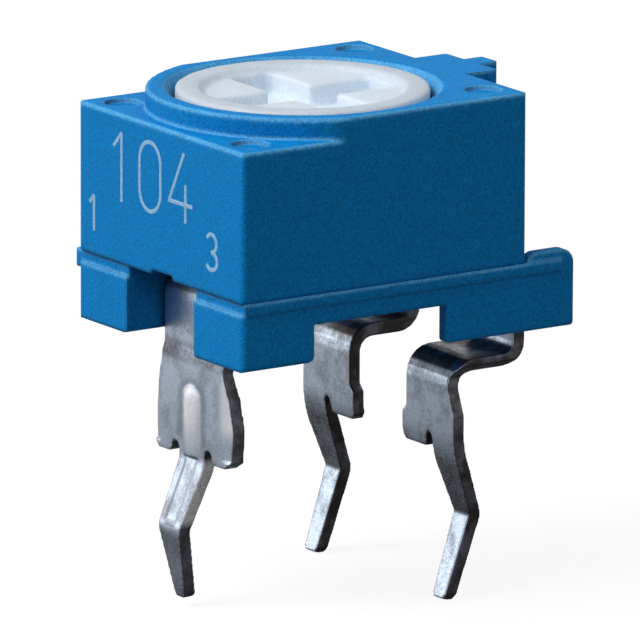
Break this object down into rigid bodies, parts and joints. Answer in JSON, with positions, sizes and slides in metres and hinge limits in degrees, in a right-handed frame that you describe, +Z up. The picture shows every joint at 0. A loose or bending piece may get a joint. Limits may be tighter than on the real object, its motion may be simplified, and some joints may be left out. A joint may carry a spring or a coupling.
{
  "type": "trimmer potentiometer",
  "caption": "Board-mounted single-turn trimmer potentiometer with a cross-slotted rotor, a sealed moulded body and kinked snap-in leads.",
  "frame": {"origin": "on the rotor's axis, at the top face of the circuit board, where the shoulders of the leads rest", "axes": "+Z up along the rotor's axis; -X towards the marked front face and the middle lead; Y across, from rear lead to rear lead"},
  "size_m": [0.0086, 0.0067, 0.0112],
  "materials": {
    "body_plastic": "fine matt moulded, mid blue",
    "rotor_plastic": "satin moulded, white",
    "seal_rubber": "smooth",
    "contact_spring": "bright strip",
    "alumina": "fired, unglazed",
    "resistive_film": "fired film",
    "conductor_film": "fired metal film",
    "tinned_lead": "satin tin plate",
    "solder": "bright",
    "resin": "cured resin"
  },
  "bodies": {
    "body": {"housing": "body_plastic", "base": "body_plastic", "substrate": "alumina", "resistive_track": "resistive_film", "collector_track": "conductor_film", "end_pad_left": "conductor_film", "end_pad_right": "conductor_film", "wiper_terminal": "tinned_lead", "end_terminal_left": "tinned_lead", "end_terminal_right": "tinned_lead", "solder_joint_front": "solder", "solder_joint_left": "solder", "solder_joint_right": "solder", "sealing_resin": "resin"},
    "rotor": {"rotor": "rotor_plastic", "seal_ring": "seal_rubber", "wiper": "contact_spring"}
  },
  "joints": [
    {"name": "rotor_turn", "type": "hinge", "parent": "body", "child": "rotor", "pos_m": [0, 0, 0.007], "axis": [0, 0, 1], "range_deg": [-120, 120]}
  ]
}
